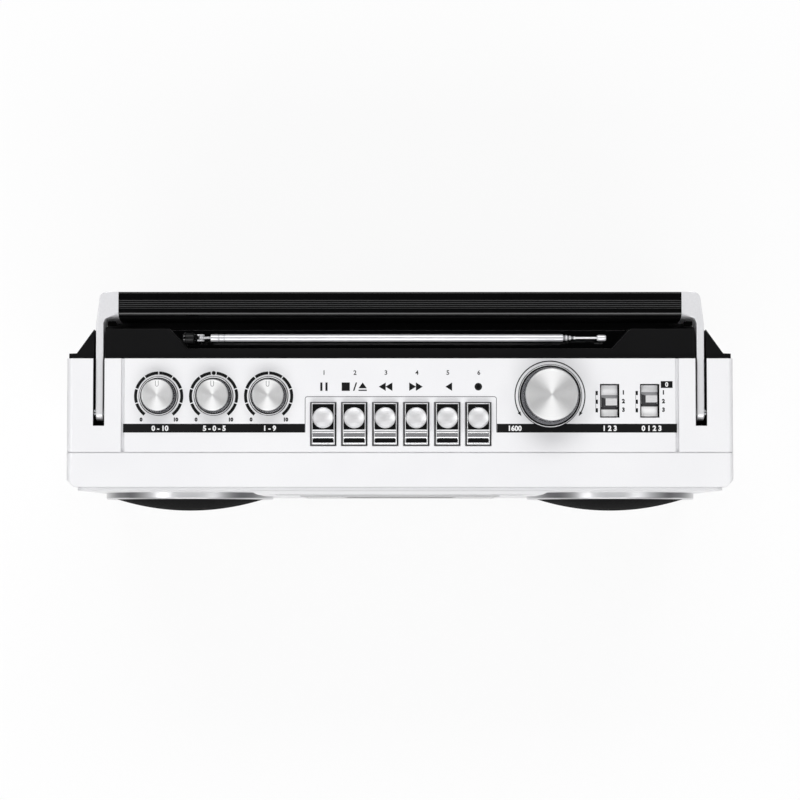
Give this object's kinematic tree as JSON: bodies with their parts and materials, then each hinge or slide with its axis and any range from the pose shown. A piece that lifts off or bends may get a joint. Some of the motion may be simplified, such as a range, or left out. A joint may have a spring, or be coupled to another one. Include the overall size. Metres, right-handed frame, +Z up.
{
  "type": "radio cassette player",
  "caption": "Portable radio cassette player: silver cabinet, twin speakers, piano keys on top, folding handle and telescopic antenna.",
  "frame": {"origin": "on the ground under the middle of the object's bounding box, handle folded back", "axes": "+X to the listener's right, +Y to the back, +Z up; the speakers face -Y"},
  "size_m": [0.42, 0.1374, 0.26],
  "materials": {
    "silver_abs": "fine satin silver-white lacquer",
    "black_abs": "fine grained moulded black",
    "gloss_black_abs": "polished black",
    "chrome_plate": "bright plated",
    "spun_aluminium": "spun, fine rings",
    "brushed_aluminium": "brushed",
    "grille_mesh": "perforated steel, dark lacquer",
    "clear_acrylic": "clear polished",
    "dial_print": "printed dark dial",
    "pointer_red": "bright red",
    "zinc_steel": "bright zinc plated sheet",
    "paper_cone": "black pulp paper and foam",
    "ferrite": "sintered ferrite and steel",
    "black_rubber": "moulded rubber",
    "brass_part": "turned brass",
    "circuit_board": "phenolic board",
    "white_nylon": "moulded nylon",
    "pot_metal": "pressed steel can"
  },
  "bodies": {
    "cabinet": {"battery_contacts": "zinc_steel", "cabinet_screws": "zinc_steel", "centre_bezel": "silver_abs", "control_panel": "silver_abs", "control_pots": "pot_metal", "deck_plate": "zinc_steel", "dial_lens": "clear_acrylic", "dial_plate": "dial_print", "drive_belt": "black_rubber", "drive_motor": "pot_metal", "front_baffle": "silver_abs", "front_cabinet": "silver_abs", "handle_pivots": "zinc_steel", "key_shaft": "zinc_steel", "main_board": "circuit_board", "mains_inlet": "gloss_black_abs", "middle_cabinet": "silver_abs", "power_transformer": "ferrite", "rear_cabinet": "black_abs", "rubber_feet": "black_rubber", "slide_switches": "pot_metal", "speaker_baskets": "zinc_steel", "speaker_cones": "paper_cone", "speaker_grille_left": "grille_mesh", "speaker_grille_right": "grille_mesh", "speaker_magnets": "ferrite", "speaker_rings": "brushed_aluminium", "tuning_capacitor": "pot_metal"},
    "volume_knob": {"volume_knob": "spun_aluminium"},
    "balance_knob": {"balance_knob": "spun_aluminium"},
    "tone_knob": {"tone_knob": "spun_aluminium"},
    "tuning_knob": {"tuning_knob": "spun_aluminium", "tuning_shaft": "brass_part"},
    "tuning_drum": {"tuning_drum": "white_nylon"},
    "dial_pointer": {"dial_pointer": "pointer_red"},
    "band_slider": {"band_slider": "silver_abs"},
    "function_slider": {"function_slider": "silver_abs"},
    "handle": {"handle_grip": "black_abs", "handle_arms": "chrome_plate"},
    "cassette_door": {"cassette_door": "silver_abs", "door_window": "clear_acrylic"},
    "supply_spindle": {"supply_spindle": "white_nylon"},
    "takeup_spindle": {"takeup_spindle": "white_nylon"},
    "head_block": {"head_block": "zinc_steel"},
    "pinch_roller": {"pinch_roller": "black_rubber"},
    "flywheel": {"flywheel": "brass_part"},
    "motor_pulley": {"motor_pulley": "brass_part"},
    "battery_door": {"battery_door": "black_abs"},
    "antenna_stub": {"antenna_stub": "chrome_plate"},
    "antenna_tube": {"antenna_tube": "chrome_plate"},
    "antenna_section_1": {"antenna_section_1": "chrome_plate"},
    "antenna_section_2": {"antenna_section_2": "chrome_plate"},
    "antenna_section_3": {"antenna_section_3": "chrome_plate"},
    "antenna_rod": {"antenna_rod": "chrome_plate"},
    "key_pause": {"key_pause": "chrome_plate"},
    "key_stop_eject": {"key_stop_eject": "chrome_plate"},
    "key_fast_forward": {"key_fast_forward": "chrome_plate"},
    "key_rewind": {"key_rewind": "chrome_plate"},
    "key_play": {"key_play": "chrome_plate"},
    "key_record": {"key_record": "chrome_plate"}
  },
  "joints": [
    {"name": "volume_turn", "type": "hinge", "parent": "cabinet", "child": "volume_knob", "pos_m": [-0.1519, 0.0025, 0.24], "axis": [0, 0, -1], "range_deg": [-144, 144]},
    {"name": "balance_turn", "type": "hinge", "parent": "cabinet", "child": "balance_knob", "pos_m": [-0.1173, 0.0025, 0.24], "axis": [0, 0, -1], "range_deg": [-144, 144]},
    {"name": "tone_turn", "type": "hinge", "parent": "cabinet", "child": "tone_knob", "pos_m": [-0.0827, 0.0025, 0.24], "axis": [0, 0, -1], "range_deg": [-144, 144]},
    {"name": "tuning_turn", "type": "hinge", "parent": "cabinet", "child": "tuning_knob", "pos_m": [0.0944, 0.0025, 0.24], "axis": [0, 0, -1], "range_deg": [-450, 450]},
    {"name": "pointer_slide", "type": "slide", "parent": "cabinet", "child": "dial_pointer", "axis": [1, 0, 0], "range_m": [-0.0474, 0.0474]},
    {"name": "drum_turn", "type": "hinge", "parent": "cabinet", "child": "tuning_drum", "pos_m": [0.062, -0.045, 0.205], "axis": [0, 1, 0], "range_deg": [-90.5, 90.5]},
    {"name": "pause_press", "type": "hinge", "parent": "cabinet", "child": "key_pause", "pos_m": [0.0005, 0.012, 0.2335], "axis": [1, 0, 0], "range_deg": [0, 6], "stiffness_Nm_per_rad": 0.8},
    {"name": "stop_eject_press", "type": "hinge", "parent": "cabinet", "child": "key_stop_eject", "pos_m": [0.0005, 0.012, 0.2335], "axis": [1, 0, 0], "range_deg": [0, 6], "stiffness_Nm_per_rad": 0.8},
    {"name": "fast_forward_press", "type": "hinge", "parent": "cabinet", "child": "key_fast_forward", "pos_m": [0.0005, 0.012, 0.2335], "axis": [1, 0, 0], "range_deg": [0, 6], "stiffness_Nm_per_rad": 0.8},
    {"name": "rewind_press", "type": "hinge", "parent": "cabinet", "child": "key_rewind", "pos_m": [0.0005, 0.012, 0.2335], "axis": [1, 0, 0], "range_deg": [0, 6], "stiffness_Nm_per_rad": 0.8},
    {"name": "play_press", "type": "hinge", "parent": "cabinet", "child": "key_play", "pos_m": [0.0005, 0.012, 0.2335], "axis": [1, 0, 0], "range_deg": [0, 6], "stiffness_Nm_per_rad": 0.8},
    {"name": "record_press", "type": "hinge", "parent": "cabinet", "child": "key_record", "pos_m": [0.0005, 0.012, 0.2335], "axis": [1, 0, 0], "range_deg": [0, 6], "stiffness_Nm_per_rad": 0.8},
    {"name": "head_slide", "type": "slide", "parent": "cabinet", "child": "head_block", "axis": [0, 0, -1], "range_m": [0, 0.0036]},
    {"name": "band_select", "type": "slide", "parent": "cabinet", "child": "band_slider", "axis": [0, 1, 0], "range_m": [-0.00545, 0.00545]},
    {"name": "function_select", "type": "slide", "parent": "cabinet", "child": "function_slider", "axis": [0, 1, 0], "range_m": [-0.0064, 0.006]},
    {"name": "handle_fold", "type": "hinge", "parent": "cabinet", "child": "handle", "pos_m": [0, -0.0076, 0.2321], "axis": [1, 0, 0], "range_deg": [0, 90]},
    {"name": "door_open", "type": "hinge", "parent": "cabinet", "child": "cassette_door", "pos_m": [0, -0.0574, 0.0755], "axis": [1, 0, 0], "range_deg": [0, 28]},
    {"name": "supply_turn", "type": "hinge", "parent": "cabinet", "child": "supply_spindle", "pos_m": [-0.02125, -0.044, 0.114], "axis": [0, 1, 0], "continuous": true},
    {"name": "takeup_turn", "type": "hinge", "parent": "cabinet", "child": "takeup_spindle", "pos_m": [0.02125, -0.044, 0.114], "axis": [0, 1, 0], "continuous": true},
    {"name": "capstan_turn", "type": "hinge", "parent": "cabinet", "child": "flywheel", "pos_m": [0.026, -0.04, 0.143], "axis": [0, 1, 0], "continuous": true},
    {"name": "motor_turn", "type": "hinge", "parent": "cabinet", "child": "motor_pulley", "pos_m": [-0.038, -0.036, 0.15], "axis": [0, 1, 0], "continuous": true},
    {"name": "roller_turn", "type": "hinge", "parent": "head_block", "child": "pinch_roller", "pos_m": [0.026, -0.05, 0.15406], "axis": [0, 1, 0], "continuous": true},
    {"name": "battery_door_lift", "type": "slide", "parent": "cabinet", "child": "battery_door", "axis": [0, 1, 0], "range_m": [0, 0.06]},
    {"name": "antenna_swivel", "type": "hinge", "parent": "cabinet", "child": "antenna_stub", "pos_m": [-0.125, 0.0392, 0.2396], "axis": [1, 0, 0], "range_deg": [-45, 20]},
    {"name": "antenna_raise", "type": "hinge", "parent": "antenna_stub", "child": "antenna_tube", "pos_m": [-0.125, 0.0392, 0.2396], "axis": [0, -1, 0], "range_deg": [0, 90]},
    {"name": "antenna_section_1_pull", "type": "slide", "parent": "antenna_tube", "child": "antenna_section_1", "axis": [1, 0, 0], "range_m": [0, 0.19]},
    {"name": "antenna_section_2_pull", "type": "slide", "parent": "antenna_section_1", "child": "antenna_section_2", "axis": [1, 0, 0], "range_m": [0, 0.19]},
    {"name": "antenna_section_3_pull", "type": "slide", "parent": "antenna_section_2", "child": "antenna_section_3", "axis": [1, 0, 0], "range_m": [0, 0.19]},
    {"name": "antenna_rod_pull", "type": "slide", "parent": "antenna_section_3", "child": "antenna_rod", "axis": [1, 0, 0], "range_m": [0, 0.19]}
  ],
  "couplings": [
    {"joint": "pointer_slide", "follows": "tuning_turn", "m_per_rad": 0.006},
    {"joint": "drum_turn", "follows": "tuning_turn", "ratio": 0.2},
    {"joint": "head_slide", "follows": "play_press", "m_per_rad": 0.034},
    {"joint": "motor_turn", "follows": "capstan_turn", "ratio": 5}
  ]
}
